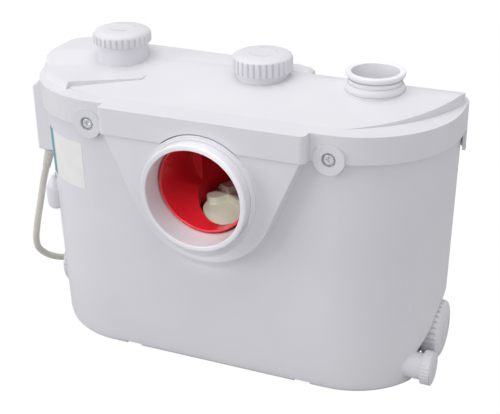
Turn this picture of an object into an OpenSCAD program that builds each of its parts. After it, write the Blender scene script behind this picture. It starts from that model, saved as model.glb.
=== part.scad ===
// Macerator pump: a D-shaped tank with a bolted lid, capped inlets, an upright
// motor that turns a cutter above and an impeller below, and a mains lead.
// Millimetres. X runs along the tank, the inlet spigot faces -Y, Z is up and
// the origin is the centre of the tank's base, on the floor.

/* [Tank] */
// Length of the lid's rim
rim_l = 410; // [395:1:430]
// Depth of the lid's rim, front to back
rim_d = 139; // [136:1:146]
// Radius of the two front corners of the rim
front_corner_r = 93; // [86:1:94]
// Radius of the two back corners of the rim
back_corner_r = 24; // [20:1:30]
// Height of the lid's rim above the floor
rim_z = 258.9; // [255:0.1:266]
// Thickness of the moulded walls
wall_t = 3; // [2.6:0.1:3.2]
// How far the tank's top stands inside the rim
tank_top_inset = 4.2; // [4:0.1:5]
// How far the tank's wall leans in between its top and its base
tank_draft = 5.4; // [4:0.1:6.5]
// Height of the rounded edge round the base
base_edge_h = 10; // [8:1:13]
// How far the rounded edge runs in under the tank
base_edge_in = 3.4; // [2:0.1:4]
// Thickness of the tank's floor
floor_t = 4; // [3.5:0.1:5]
// Width of the two notches in the front of the base
notch_w = 15.3; // [10:0.1:20]
// Place of the notches, from the middle
notch_x = 88.9; // [80:0.1:96]
// Height of the notches
notch_h = 3; // [2:0.1:3.4]

/* [Inlet spigot] */
// Outer radius of the spigot
spigot_r = 50; // [48:0.1:51]
// Height of the spigot's axis above the floor
spigot_z = 192; // [188:0.5:194]
// Wall of the spigot
spigot_wall = 4.6; // [4:0.1:5.5]
// How far the spigot stands out of its raised apron
spigot_out = 16; // [14:0.5:24]
// Radius of the round foot of the apron
apron_r = 69; // [66:0.5:71]
// How far the apron's face stands in front of the rim
apron_out = 9.5; // [8:0.1:10.2]
// Radius of the collar at the spigot's foot
collar_r = 54.2; // [53:0.1:54.4]

/* [Lid] */
// Height of the lid's skirt
skirt_h = 25; // [22:0.5:27]
// Half length of the raised pad on the front of the skirt
pad_half = 94.5; // [88:0.5:97]
// How far the pad stands in front of the skirt
pad_out = 11; // [10.4:0.1:13]
// Radius of the arc cut out of the pad over the spigot
pad_arc_r = 55; // [54.8:0.1:57]
// Distance of the screw lugs from the rim's ends
lug_in = 89.7; // [83:0.1:92]
// Height of the screw lugs
lug_z = 237; // [235:0.5:240]
// Radius of the screw lugs
lug_r = 14.3; // [12:0.1:15]
// Radius of the counterbore in each lug
lug_bore_r = 6.4; // [5.5:0.1:7]
// How far the lugs stand in front of the skirt
lug_out = 0.5; // [0.4:0.1:1.5]
// Rise of the lid's top from its front edge to its crown
crown_rise = 9.5; // [8:0.1:11]
// Height of the flat left shoulder above the rim
shoulder_rise = 5.6; // [4:0.1:6.5]
// Height of the ridge along the back above the rim
ridge_rise = 12.6; // [12:0.1:13]

/* [Necks and caps] */
// Distance of the row of necks from the back of the rim
neck_back = 39.5; // [38.5:0.5:41.5]
// Distance of the left neck from the left end of the rim
left_neck_in = 75; // [72:0.5:77]
// Place of the centre neck
centre_neck_x = 16; // [12:0.5:18]
// Outer radius of a capped neck
neck_r = 24.4; // [24:0.1:24.8]
// Bore radius of a capped neck
neck_bore_r = 20.5; // [19:0.1:21]
// Outer radius of a cap over its ridges
cap_r = 28; // [27.4:0.1:29]
// Height of a cap's ridged skirt
cap_h = 14.2; // [13:0.1:15]
// Height of a cap's domed top above its ridges
cap_dome = 3.2; // [2.5:0.1:4]
// Number of ridges round a cap
cap_ridges = 36; // [24:1:40]
// Depth of the ridges
ridge_depth = 0.9; // [0.5:0.1:1.1]
// Height of the lower edge of the left cap
left_cap_z = 280.8; // [278:0.1:284]
// Height of the lower edge of the centre cap
centre_cap_z = 272.4; // [272.2:0.1:276]

/* [Outlet] */
// Distance of the outlet from the right end of the rim
outlet_in = 81; // [79:0.5:84]
// Bore radius of the outlet neck
outlet_bore_r = 21.5; // [21:0.1:22]
// Radius of the outlet's two flanges
outlet_flange_r = 26.6; // [26.2:0.1:27.6]
// Height of the outlet's mouth
outlet_z = 284.6; // [282:0.1:288]
// Radius of the outlet's waist
outlet_waist_r = 23.8; // [23.4:0.1:24.4]

/* [Side ports] */
// Height of the side inlets' axis
side_neck_z = 34; // [33:0.5:36]
// How far the right side cap's face stands inside the end of the rim
side_cap_in = 2; // [0:0.5:3]
// How far the left side cap's face stands outside the end of the rim
left_cap_out = 3; // [1:0.5:4]
// Distance of the drain in front of the row of necks
drain_gap = 47.5; // [46.5:0.5:48.5]
// Height of the drain's axis
drain_z = 19.5; // [18.6:0.1:21]
// How far the drain plug's face stands inside the end of the rim
drain_cap_in = 0.5; // [0:0.1:2]
// Radius of the drain plug
drain_cap_r = 16; // [15.6:0.1:16.4]
// Outer radius of the drain's neck
drain_neck_r = 12.5; // [12:0.1:13]
// Depth of the end pockets, from the ends of the rim
pocket_in = 40; // [37:0.5:43]

/* [Motor] */
// Place of the motor's axis
motor_x = 20; // [18:0.5:22]
// Outer radius of the motor's sealed case
motor_r = 50; // [49:0.1:51]
// Height of the top of the motor's case
motor_top_z = 122; // [120:0.5:124]
// Radius of the shaft
shaft_r = 5; // [4.5:0.1:5.2]
// Running clearance of the shaft in its bearings
run_gap = 0.03; // [0.02:0.01:0.06]
// Outer radius of the cutter disc
cutter_r = 50.5; // [46:0.5:51]
// Inner radius of the cutting pot
pot_r = 54; // [53:0.5:55]
// Outer radius of the pump's volute
volute_r = 45; // [44:0.5:47]
// Radius of the impeller
impeller_r = 34; // [30:0.5:36]
// Outer radius of the riser pipe
riser_r = 11.5; // [11:0.1:11.8]

/* [Lead] */
// How far the cable box stands out of the left end of the rim
box_out = 6.7; // [5:0.1:8]
// Length of the tapered strain relief
relief_l = 22; // [20:0.5:24]
// Diameter of the mains lead
cord_d = 6.8; // [6.4:0.1:7]
// Gap between the turns of the coiled lead
cord_gap = 0.6; // [0.5:0.1:1]
// Turns in each layer of the coiled lead
coil_layer_turns = 1.5; // [1.5:1:2.5]

/* [Hidden] */

// Overrun that carries a cut clear through a face
cut = 1;
// Clearance between neighbouring mouldings
fit = 0.3;
half_l = rim_l / 2;
half_d = rim_d / 2;
skirt_z = rim_z - skirt_h;
deck_z = rim_z - wall_t;
gasket_t = 3;
tank_z = deck_z - gasket_t;
front_face_y = -half_d;
// Centre of the front corners' arc
corner_x = half_l - front_corner_r;
corner_y = front_corner_r - half_d;
lug_x = half_l - lug_in;
neck_y = half_d - neck_back;
left_neck_x = left_neck_in - half_l;
outlet_x = half_l - outlet_in;
side_cap_x = half_l - side_cap_in;
left_side_cap_x = half_l + left_cap_out;
drain_y = drain_gap - neck_y;
drain_cap_x = half_l - drain_cap_in;
pocket_x = half_l - pocket_in;

// Points of an arc about a centre, from one angle to another
function arc(c, r, a0, a1, n) =
    [for (i = [0:n]) let (a = a0 + (a1 - a0) * i / n) c + r * [cos(a), sin(a)]];

// Outline of the rim moved in by an inset, counter-clockwise from the front
front_steps = 22;
back_steps = 6;
function plan(inset) =
    let (
        fc = [corner_x, corner_y],
        bc = [half_l - back_corner_r, half_d - back_corner_r],
        fr = front_corner_r - inset,
        br = back_corner_r - inset
    )
    concat(
        arc(fc, fr, -90, 0, front_steps),
        arc(bc, br, 0, 90, back_steps),
        arc([-bc.x, bc.y], br, 90, 180, back_steps),
        arc([-fc.x, fc.y], fr, 180, 270, front_steps)
    );

// Straight slice of the rim's outline between two heights
module slice(inset, z0, z1) {
    translate([0, 0, z0]) linear_extrude(z1 - z0) polygon(plan(inset));
}

// Leaning shell through a list of [height, inset] levels
module loft(levels) {
    rings = [for (l = levels) [for (p = plan(l[1])) [p.x, p.y, l[0]]]];
    n = len(rings[0]);
    m = len(rings);
    faces = concat(
        [[for (i = [0:n - 1]) i]],
        [[for (i = [0:n - 1]) m * n - 1 - i]],
        [for (k = [0:m - 2], i = [0:n - 1])
            [k * n + i, (k + 1) * n + i, (k + 1) * n + (i + 1) % n]],
        [for (k = [0:m - 2], i = [0:n - 1])
            [k * n + i, (k + 1) * n + (i + 1) % n, k * n + (i + 1) % n]]
    );
    polyhedron(points = [for (r = rings) each r], faces = faces, convexity = 4);
}

// Inset of the tank's outer face at a height
function tank_inset(z) = tank_top_inset + tank_draft * (1 - z / tank_z);

// The tank's outer body, grown by an offset
module tank_body(grow) {
    edge_mid_share = 0.3;
    loft([
        [0, tank_inset(0) + base_edge_in - grow],
        [base_edge_h * edge_mid_share, tank_inset(0) + base_edge_in * edge_mid_share - grow],
        [base_edge_h, tank_inset(base_edge_h) - grow],
        [tank_z, tank_inset(tank_z) - grow]
    ]);
}

// The tank's hollow
module tank_hollow() {
    loft([
        [floor_t, tank_inset(0) + base_edge_in + wall_t],
        [base_edge_h, tank_inset(base_edge_h) + wall_t],
        [tank_z + cut, tank_inset(tank_z + cut) + wall_t]
    ]);
}

// End pocket: its outline looking along X, as shares of its own size
pocket_h = 68;
pocket_front_y = drain_y - fit;
pocket_run_share = 0.9;
pocket_rise_shares = [
    [0, 0.35], [0.06, 0.5], [0.22, 0.63], [0.36, 0.72], [0.48, 0.79], [0.7, 0.88], [1, 1]
];

// Solid that takes the pocket out of one end, grown by an offset
module pocket(grow) {
    run = half_d * pocket_run_share;
    outline = concat(
        [[-pocket_front_y - grow, -cut - grow]],
        [for (s = pocket_rise_shares)
            [-pocket_front_y - grow + run * s[0], pocket_h * s[1] + grow]],
        [[half_d + cut, pocket_h + grow], [half_d + cut, -cut - grow]]
    );
    translate([pocket_x - grow, 0, 0]) rotate([90, 0, 90])
        linear_extrude(half_l - pocket_x + cut + grow) polygon(outline);
}

// All that is cut out of one end: the pocket and a scoop round the side cap
cap_room = 1;
side_root_x = side_cap_x - cap_h - cap_dome - cap_room;
module end_cut(grow) {
    pocket(grow);
    along_x(side_root_x - grow, neck_y, side_neck_z)
        cylinder(h = half_l, r = cap_r + cap_room + grow, $fn = 96);
}

module both_ends() {
    children();
    mirror([1, 0, 0]) children();
}

module along_y(x, y, z) {
    translate([x, y, z]) rotate([-90, 0, 0]) children();
}

module along_x(x, y, z) {
    translate([x, y, z]) rotate([0, 90, 0]) children();
}

// Apron: a round foot under straight sides that meet the pad's ends
apron_y = front_face_y - apron_out;
apron_side_share = 0.99;
module apron(grow, y0, y1) {
    top_x = pad_half * apron_side_share;
    top_h = skirt_z - fit - spigot_z;
    reach = sqrt(top_x * top_x + top_h * top_h);
    lean = atan2(top_h, top_x);
    touch = acos(apron_r / reach);
    a = lean - touch;
    r = apron_r + grow;
    along_y(0, y0, spigot_z) linear_extrude(y1 - y0) polygon(concat(
        arc([0, 0], r, -a, 180 + a, 48),
        [[-top_x - grow, -top_h], [top_x + grow, -top_h]]
    ));
}

// Screw lugs: two at the front and two at the back
lug_face_y = half_d + lug_out;
lug_seat_in = 3.5;
lug_seat_y = half_d - wall_t - lug_seat_in;
lug_back_t = 3;
screw_r = 2.5;
screw_head_r = 4.6;
screw_head_h = 3;
screw_boss_l = 9;
screw_boss_r = 5.6;
screw_blind = 1.5;
lug_floor_t = 2.5;
module each_lug() {
    for (sx = [-1, 1], sy = [-1, 1])
        translate([sx * lug_x, 0, lug_z]) flip_y(sy) children();
}
module flip_y(s) {
    mirror([0, s < 0 ? 1 : 0, 0]) children();
}
module lug_shape(r, top, y0, y1) {
    along_y(0, y0, 0) cylinder(h = y1 - y0, r = r, $fn = 64);
    translate([-r, y0, 0]) cube([2 * r, y1 - y0, top - lug_z]);
}

spigot_face_y = apron_y - spigot_out;
spigot_bore_r = spigot_r - spigot_wall;
seal_t = 2;
function side_neck_tip(face_x) = face_x - cap_dome - seal_t;
drain_lid_t = 2.4;
drain_seal_t = 1.6;
drain_tip = drain_cap_x - drain_lid_t - drain_seal_t;
drain_bore_r = 8;
web_t = 4;
end_boss_r = 8.5;
end_boss_in = 4.1;
end_boss_way = 217;
end_boss_z = 131;
end_boss_h = 15;
// Point of the left front corner's arc, moved in, that a direction meets
function left_corner(inset, way) =
    [-corner_x, corner_y] + (front_corner_r - inset) * [cos(way), sin(way)];
end_boss_at = left_corner(end_boss_in, end_boss_way);

// Hole that the lead takes from the cable box into the tank
module lead_hole() {
    along_x(-half_l - wall_t, box_lead_y, box_lead_z)
        cylinder(h = 6 * wall_t, r = lead_r + fit, $fn = 40);
}

// Neck of a side inlet, rooted in the wall behind its cap
module side_neck(face_x) {
    root_x = min(pocket_x, side_root_x) - wall_t;
    along_x(root_x, neck_y, side_neck_z)
        cylinder(h = side_neck_tip(face_x) - root_x, r = neck_r, $fn = 96);
}

module tank() {
    color("gainsboro") difference() {
        union() {
            difference() {
                union() {
                    difference() {
                        tank_body(0);
                        both_ends() end_cut(0);
                    }
                    apron(0, apron_y, -half_d / 2);
                }
                difference() {
                    tank_hollow();
                    both_ends() end_cut(wall_t);
                }
                intersection() {
                    apron(-wall_t, apron_y + wall_t, -half_d / 2 + cut);
                    translate([-half_l, -rim_d, floor_t])
                        cube([rim_l, rim_d, skirt_z - floor_t - 2 * wall_t]);
                }
                // Steps in the wall that take the lid's lugs
                each_lug() lug_shape(lug_r + fit, tank_z + cut, lug_seat_y + fit, half_d);
            }
            intersection() {
                each_lug() lug_shape(lug_r + wall_t, tank_z, lug_seat_y - lug_back_t, lug_seat_y + fit);
                tank_body(0);
            }
            each_lug() along_y(0, lug_seat_y - screw_boss_l, 0)
                cylinder(h = screw_boss_l - lug_back_t / 2, r = screw_boss_r, $fn = 40);
            // Spigot with its lip and foot collar
            along_y(0, spigot_face_y, spigot_z)
                cylinder(h = -half_d + tank_inset(spigot_z) + 2 * wall_t - spigot_face_y, r = spigot_r, $fn = 120);
            along_y(0, apron_y - wall_t, spigot_z) cylinder(h = 2 * wall_t, r = collar_r, $fn = 120);
            // Side inlets and the drain
            side_neck(side_cap_x);
            mirror([1, 0, 0]) side_neck(left_side_cap_x);
            along_x(pocket_x - wall_t, -drain_y, drain_z)
                cylinder(h = drain_tip - pocket_x + wall_t, r = drain_neck_r, $fn = 64);
            // Web between the right side inlet and the drain
            translate([pocket_x - wall_t, -drain_y, drain_z - web_t])
                cube([side_root_x - pocket_x + wall_t - cap_room, neck_y + drain_y, web_t]);
            // Rounded boss on the left end, below the labels
            difference() {
                union() {
                    translate([end_boss_at.x, end_boss_at.y, end_boss_z])
                        sphere(r = end_boss_r, $fn = 48);
                    translate([end_boss_at.x, end_boss_at.y, end_boss_z])
                        cylinder(h = end_boss_h, r = end_boss_r, $fn = 48);
                    translate([end_boss_at.x, end_boss_at.y, end_boss_z + end_boss_h])
                        cylinder(h = 1.5 * end_boss_r, r1 = end_boss_r, r2 = end_boss_r / 4, $fn = 48);
                }
                tank_hollow();
            }
        }
        along_y(0, spigot_face_y - cut, spigot_z)
            cylinder(h = half_d, r = spigot_bore_r, $fn = 120);
        both_ends() along_x(min(pocket_x, side_root_x) - 3 * wall_t, neck_y, side_neck_z)
            cylinder(h = half_l, r = neck_bore_r, $fn = 96);
        along_x(pocket_x - 6 * wall_t, -drain_y, drain_z)
            cylinder(h = half_l, r = drain_bore_r, $fn = 64);
        each_lug() along_y(0, lug_seat_y - screw_boss_l + screw_blind, 0)
            cylinder(h = screw_boss_l, r = screw_r, $fn = 40);
        lead_hole();
        for (s = [-1, 1]) translate([s * notch_x - notch_w / 2, -half_d, -cut])
            cube([notch_w, half_d / 2 - wall_t, notch_h + cut]);
    }
}

// Outline of the lid's raised top: a straight front, a wide arc at each end
// and round back corners
top_front = 16.5;
top_in = 4;
top_corner_r = 20;
top_front_y = top_front - half_d;
top_end_x = half_l - top_in;
top_back_y = half_d - top_in;
// Right and left arcs: how far the centre lies behind the rim, how far the arc
// dips below the front line and how far it runs past the end of the top
right_arc = top_arc(10.5, 13, 5);
left_arc = top_arc(-9.5, 2, 14);
function top_arc(back, dip, over) =
    let (r = half_d + back - top_front_y + dip) [top_end_x + over - r, half_d + back, r];
function top_plan(inset) =
    let (
        bc = [top_end_x - top_corner_r, top_back_y - top_corner_r],
        br = top_corner_r - inset,
        rr = right_arc.z - inset,
        lr = left_arc.z - inset,
        end_x = top_end_x - inset,
        front_y = top_front_y + inset
    )
    concat(
        arc([right_arc.x, right_arc.y], rr,
            -asin((right_arc.y - front_y) / rr), -acos((end_x - right_arc.x) / rr), front_steps),
        arc(bc, br, 0, 90, back_steps),
        arc([-bc.x, bc.y], br, 90, 180, back_steps),
        arc([-left_arc.x, left_arc.y], lr,
            180 + acos((end_x - left_arc.x) / lr), 180 + asin((left_arc.y - front_y) / lr), front_steps)
    );

// Level that the raised solids and their hollows start from
function top_base(drop) = drop > 0 ? deck_z - cut : rim_z - wall_t / 2;

// Crown: its profile looking along X, as shares of the top's depth and rise
crown_shares = [[0, 0], [0.3, 0.4], [0.55, 0.733], [0.68, 0.922], [0.72, 1],
    [0.78, 1], [0.87, 0.8], [0.95, 0.378], [1, 0.11]];
module crown(drop) {
    depth = top_back_y - top_front_y;
    base = top_base(drop);
    outline = concat(
        [[top_front_y + drop, base]],
        [for (s = crown_shares)
            [top_front_y + drop + (depth - 2 * drop) * s[0], rim_z + crown_rise * s[1] - drop]],
        [[top_back_y - drop, base]]
    );
    intersection() {
        translate([0, 0, base]) linear_extrude(crown_rise + 3 * wall_t)
            polygon(top_plan(drop));
        translate([-half_l, 0, 0]) rotate([90, 0, 90]) linear_extrude(rim_l) polygon(outline);
    }
}

// Flat shoulder at the left end, with leaning walls and a slanting front edge
shoulder_lean = 4.5;
shoulder_shares = [[-0.715, -0.31], [-0.43, -0.085], [-0.43, 0.4], [-1, 0.4], [-1, -0.5], [-0.735, -0.5]];
module shoulder(drop) {
    base = top_base(drop);
    top = rim_z + shoulder_rise - drop;
    spread = shoulder_lean * (top - base) / shoulder_rise;
    intersection() {
        leaning(top_plan(drop - spread), base, top_plan(drop), top);
        slice(top_in / 2 + drop, base, top + cut);
        translate([0, 0, base]) linear_extrude(crown_rise + 2 * wall_t)
            polygon([for (s = shoulder_shares) [half_l * s[0] - drop, rim_d * s[1] + drop]]);
    }
}

// Solid between two outlines of as many points, one above the other
module leaning(low, z0, high, z1) {
    n = len(low);
    polyhedron(
        points = concat([for (p = low) [p.x, p.y, z0]], [for (p = high) [p.x, p.y, z1]]),
        faces = concat(
            [[for (i = [0:n - 1]) i]],
            [[for (i = [0:n - 1]) 2 * n - 1 - i]],
            [for (i = [0:n - 1]) [i, n + i, n + (i + 1) % n]],
            [for (i = [0:n - 1]) [i, n + (i + 1) % n, (i + 1) % n]]
        ),
        convexity = 4
    );
}

// Ridge along the back: stations of [x, crease y, crease height, top y, top
// height], as shares of half the rim's length, its depth and the ridge's rise
ridge_stations_share = [
    [-0.99, -0.09, 0.42, 0.1, 1], [-0.925, -0.058, 0.43, 0.14, 1], [-0.735, 0.042, 0.46, 0.27, 1],
    [-0.473, 0.165, 0.6, 0.36, 0.97], [-0.1, 0.3, 0.69, 0.4, 0.88], [0.185, 0.366, 0.6, 0.41, 0.79],
    [0.249, 0.38, 0.52, 0.41, 0.64], [0.266, 0.385, 0.4, 0.41, 0.45]
];
module ridge(drop) {
    base = top_base(drop);
    n = len(ridge_stations_share);
    last = ridge_stations_share[n - 1][0];
    rows = [for (s = ridge_stations_share) let (x = half_l * s[0] - (s[0] == last ? drop : 0)) [
        [x, rim_d * s[1] + drop, base],
        [x, rim_d * s[1] + drop, rim_z + ridge_rise * s[2] - drop],
        [x, rim_d * s[3], rim_z + ridge_rise * s[4] - drop],
        [x, half_d, rim_z + ridge_rise * s[4] - drop],
        [x, half_d, base]
    ]];
    k = 5;
    faces = concat(
        [[for (j = [0:k - 1]) k - 1 - j]],
        [[for (j = [0:k - 1]) (n - 1) * k + j]],
        [for (i = [0:n - 2], j = [0:k - 1])
            [i * k + j, i * k + (j + 1) % k, (i + 1) * k + (j + 1) % k]],
        [for (i = [0:n - 2], j = [0:k - 1])
            [i * k + j, (i + 1) * k + (j + 1) % k, (i + 1) * k + j]]
    );
    intersection() {
        polyhedron(points = [for (r = rows) each r], faces = faces, convexity = 4);
        translate([0, 0, base]) linear_extrude(ridge_rise + 3 * wall_t) polygon(top_plan(drop));
    }
}

cap_plate_t = 3;
function neck_top(cap_z) = cap_z + cap_h + cap_dome - cap_plate_t - seal_t;
outlet_sink = 1.2;
outlet_seat_z = rim_z + crown_rise - outlet_sink;
pad_face_y = front_face_y - pad_out;
pad_fillet = 3.5;
pad_corner_r = 5.5;
tab_l = 16;
tab_h = 20;
tab_back = 7.5;

module lid() {
    color("whitesmoke") difference() {
        union() {
            difference() {
                slice(0, skirt_z, rim_z);
                slice(wall_t, skirt_z - cut, deck_z);
            }
            crown(0);
            shoulder(0);
            ridge(0);
            for (x = [left_neck_x, centre_neck_x])
                translate([x, neck_y, deck_z])
                    cylinder(h = neck_top(x == left_neck_x ? left_cap_z : centre_cap_z) - deck_z,
                        r = neck_r, $fn = 96);
            translate([outlet_x, neck_y, deck_z])
                cylinder(h = outlet_seat_z - deck_z, r = outlet_flange_r + fit, $fn = 96);
            // Pad over the spigot, with its arc cut out
            difference() {
                translate([0, 0, skirt_z]) linear_extrude(skirt_h) {
                    end_x = pad_half + pad_fillet;
                    at = [end_x - pad_corner_r, pad_face_y + pad_corner_r];
                    foot_y = front_face_y + wall_t / 2;
                    polygon(concat([[-end_x, foot_y]], arc([-at.x, at.y], pad_corner_r, 180, 270, 8),
                        arc(at, pad_corner_r, -90, 0, 8), [[end_x, foot_y]]));
                }
                // Hollow behind the pad's face
                translate([-pad_half + wall_t, pad_face_y + wall_t, skirt_z - cut])
                    cube([2 * (pad_half - wall_t), pad_out + cut, skirt_h - wall_t + cut]);
            }
            each_lug() lug_shape(lug_r, deck_z, lug_seat_y + 2 * fit, half_d - wall_t + fit);
            each_lug() along_y(0, lug_seat_y + 2 * fit, 0)
                cylinder(h = lug_face_y - lug_seat_y - 2 * fit, r = lug_r, $fn = 64);
            // Tab under the back of the right end
            intersection() {
                difference() {
                    slice(0, skirt_z - tab_h, skirt_z + cut);
                    slice(wall_t, skirt_z - tab_h - cut, skirt_z + 2 * cut);
                }
                translate([0, half_d - tab_back - tab_l, 0]) cube([rim_l, tab_l, rim_z]);
            }
        }
        crown(wall_t);
        shoulder(wall_t);
        ridge(wall_t);
        along_y(0, pad_face_y - cut, spigot_z)
            cylinder(h = pad_out + wall_t + 2 * cut, r = pad_arc_r, $fn = 120);
        for (x = [left_neck_x, centre_neck_x])
            translate([x, neck_y, skirt_z]) cylinder(h = skirt_h * 4, r = neck_bore_r, $fn = 96);
        translate([outlet_x, neck_y, skirt_z])
            cylinder(h = skirt_h * 4, r = outlet_bore_r + wall_t - fit, $fn = 96);
        translate([outlet_x, neck_y, outlet_seat_z])
            cylinder(h = skirt_h, r = outlet_flange_r + fit, $fn = 96);
        each_lug() along_y(0, lug_seat_y + 2 * fit + lug_floor_t, 0)
            cylinder(h = half_d, r = lug_bore_r, $fn = 48);
        each_lug() along_y(0, lug_seat_y - cut, 0) cylinder(h = half_d, r = screw_r + fit, $fn = 40);
    }
    // Bosses under the top that carry the control box
    color("whitesmoke") intersection() {
        for (x = [control_x0 + boss_r, control_x1 - boss_r], y = [-1, 1])
            translate([x - boss_r, y * (control_half - boss_r) - boss_r, deck_z])
                cube([2 * boss_r, 2 * boss_r, skirt_h]);
        crown(wall_t / 2);
    }
}
boss_r = 6;

module lid_gasket() {
    color("dimgray") difference() {
        slice(tank_top_inset, tank_z, deck_z);
        slice(tank_top_inset + wall_t, tank_z - cut, deck_z + cut);
        each_lug() lug_shape(lug_r + fit, deck_z + cut, lug_seat_y + fit, half_d);
    }
}

// Cross-head screw along +Y, its head at the outside
module cross_screw(head_r, head_h, r, l) {
    slot_w = head_r / 4;
    difference() {
        union() {
            cylinder(h = head_h, r = head_r, $fn = 40);
            translate([0, 0, -l]) cylinder(h = l, r = r, $fn = 32);
        }
        for (a = [0, 90]) rotate([0, 0, a])
            translate([-head_r * 0.6, -slot_w / 2, head_h / 2]) cube([head_r * 1.2, slot_w, head_h]);
    }
}

module lid_screws() {
    seat = lug_seat_y + 2 * fit + lug_floor_t;
    color("silver") each_lug() along_y(0, seat, 0)
        cross_screw(screw_head_r, screw_head_h, screw_r,
            lug_floor_t + 2 * fit + screw_boss_l - screw_blind - cut);
}

// Outline of a ridged cap: shallow flutes between round-topped ridges
function ridged(r, count, depth) =
    [for (i = [0:count - 1], k = [[0, 0], [0.45, 0], [0.6, 1], [0.85, 1]])
        let (a = 360 * (i + k[0]) / count) (r - depth * k[1]) * [cos(a), sin(a)]];

// Screw cap with its open end at z = 0
module ridged_cap(r, h, dome, bore_r, plate_t, count, depth) {
    difference() {
        union() {
            linear_extrude(h) polygon(ridged(r, count, depth));
            translate([0, 0, h]) cylinder(h = dome * 0.7, r1 = r - depth, r2 = r - depth - dome * 0.8, $fn = 96);
            translate([0, 0, h + dome * 0.7])
                cylinder(h = dome * 0.3, r1 = r - depth - dome * 0.8, r2 = r - depth - dome * 2, $fn = 96);
        }
        translate([0, 0, -cut]) cylinder(h = h + dome - plate_t + cut, r = bore_r, $fn = 96);
    }
}

module neck_cap() {
    ridged_cap(cap_r, cap_h, cap_dome, neck_r + fit, cap_plate_t, cap_ridges, ridge_depth);
}

// Flat sealing ring
module ring(ro, ri, h) {
    difference() {
        cylinder(h = h, r = ro, $fn = 96);
        translate([0, 0, -cut]) cylinder(h = h + 2 * cut, r = ri, $fn = 96);
    }
}

module left_cap() {
    color("whitesmoke") translate([left_neck_x, neck_y, left_cap_z]) neck_cap();
}

module left_cap_seal() {
    color("dimgray") translate([left_neck_x, neck_y, neck_top(left_cap_z)])
        ring(neck_r - fit, neck_bore_r + fit, seal_t);
}

module centre_cap() {
    color("whitesmoke") translate([centre_neck_x, neck_y, centre_cap_z]) neck_cap();
}

module centre_cap_seal() {
    color("dimgray") translate([centre_neck_x, neck_y, neck_top(centre_cap_z)])
        ring(neck_r - fit, neck_bore_r + fit, seal_t);
}

// Spool-shaped outlet: a flange, a waist, a lower flange and a foot in the lid
outlet_flange_t = 3;
outlet_foot_t = 3.5;
outlet_cone_h = 3.5;
outlet_fillet = 0.5;
module outlet_collar() {
    cone_z = outlet_seat_z + outlet_foot_t;
    color("whitesmoke") translate([outlet_x, neck_y, 0]) difference() {
        union() {
            translate([0, 0, deck_z])
                cylinder(h = cone_z - deck_z, r = outlet_bore_r + wall_t - 2 * fit, $fn = 96);
            translate([0, 0, outlet_seat_z])
                cylinder(h = outlet_z - outlet_seat_z, r = outlet_waist_r, $fn = 96);
            translate([0, 0, outlet_seat_z])
                cylinder(h = outlet_foot_t, r = outlet_flange_r, $fn = 96);
            translate([0, 0, cone_z])
                cylinder(h = outlet_cone_h, r1 = outlet_flange_r, r2 = outlet_waist_r + outlet_fillet, $fn = 96);
            translate([0, 0, outlet_z - 2 * outlet_flange_t])
                cylinder(h = outlet_flange_t, r1 = outlet_waist_r + outlet_fillet, r2 = outlet_flange_r, $fn = 96);
            translate([0, 0, outlet_z - outlet_flange_t])
                cylinder(h = outlet_flange_t, r = outlet_flange_r, $fn = 96);
        }
        translate([0, 0, deck_z - cut])
            cylinder(h = outlet_z - deck_z + 2 * cut, r = outlet_bore_r, $fn = 96);
    }
}

// Check valve under the outlet: a cup with a seat, and a flap that swings up
valve_drop = 29.9;
valve_seat_z = deck_z - valve_drop;
valve_floor_t = 4;
flap_r = 16.5;
flap_t = 2.2;
flap_pin_r = 1.5;
flap_pin_z = valve_seat_z + flap_pin_r + fit;
flap_play = 0.5;
flap_hinge_x = outlet_x - flap_r - flap_play;
valve_step = 1.5;
valve_bore_r = outlet_bore_r - valve_step;
valve_outer_r = outlet_bore_r + wall_t - 2 * fit;
riser_wall = 2;
riser_bore_r = riser_r - riser_wall;
module valve_body() {
    color("silver") difference() {
        translate([outlet_x, neck_y, valve_seat_z - valve_floor_t])
            cylinder(h = valve_drop + valve_floor_t - fit, r = valve_outer_r, $fn = 96);
        translate([outlet_x, neck_y, valve_seat_z])
            cylinder(h = deck_z, r = valve_bore_r, $fn = 96);
        translate([outlet_x, neck_y, valve_seat_z - valve_floor_t - cut])
            cylinder(h = valve_floor_t + 2 * cut, r = riser_bore_r, $fn = 64);
        along_y(flap_hinge_x, neck_y - half_d, flap_pin_z)
            cylinder(h = rim_d, r = flap_pin_r + run_gap, $fn = 32);
    }
}

module valve_flap() {
    pin_half = sqrt(pow(valve_outer_r, 2) - pow(outlet_x - flap_hinge_x, 2)) - fit;
    color("dimgray") {
        difference() {
            translate([outlet_x, neck_y, valve_seat_z + fit / 3])
                cylinder(h = flap_t, r = flap_r, $fn = 64);
            translate([flap_hinge_x - flap_r, neck_y - flap_r, valve_seat_z - cut])
                cube([flap_r, 2 * flap_r, 2 * flap_t + 2 * cut]);
        }
        along_y(flap_hinge_x, neck_y - pin_half, flap_pin_z)
            cylinder(h = 2 * pin_half, r = flap_pin_r, $fn = 32);
        translate([flap_hinge_x, neck_y - flap_r / 3, flap_pin_z - flap_pin_r + 2 * fit / 3])
            cube([flap_r / 2, flap_r * 2 / 3, flap_pin_r]);
    }
}

module right_side_cap() {
    color("whitesmoke") along_x(side_cap_x - cap_h - cap_dome, neck_y, side_neck_z) neck_cap();
}

module right_side_seal() {
    color("dimgray") along_x(side_neck_tip(side_cap_x), neck_y, side_neck_z)
        ring(neck_r - fit, neck_bore_r + fit, seal_t - cap_plate_t + cap_dome);
}

module left_side_cap() {
    color("whitesmoke") mirror([1, 0, 0])
        along_x(left_side_cap_x - cap_h - cap_dome, neck_y, side_neck_z) neck_cap();
}

module left_side_seal() {
    color("dimgray") mirror([1, 0, 0]) along_x(side_neck_tip(left_side_cap_x), neck_y, side_neck_z)
        ring(neck_r - fit, neck_bore_r + fit, seal_t - cap_plate_t + cap_dome);
}

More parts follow.
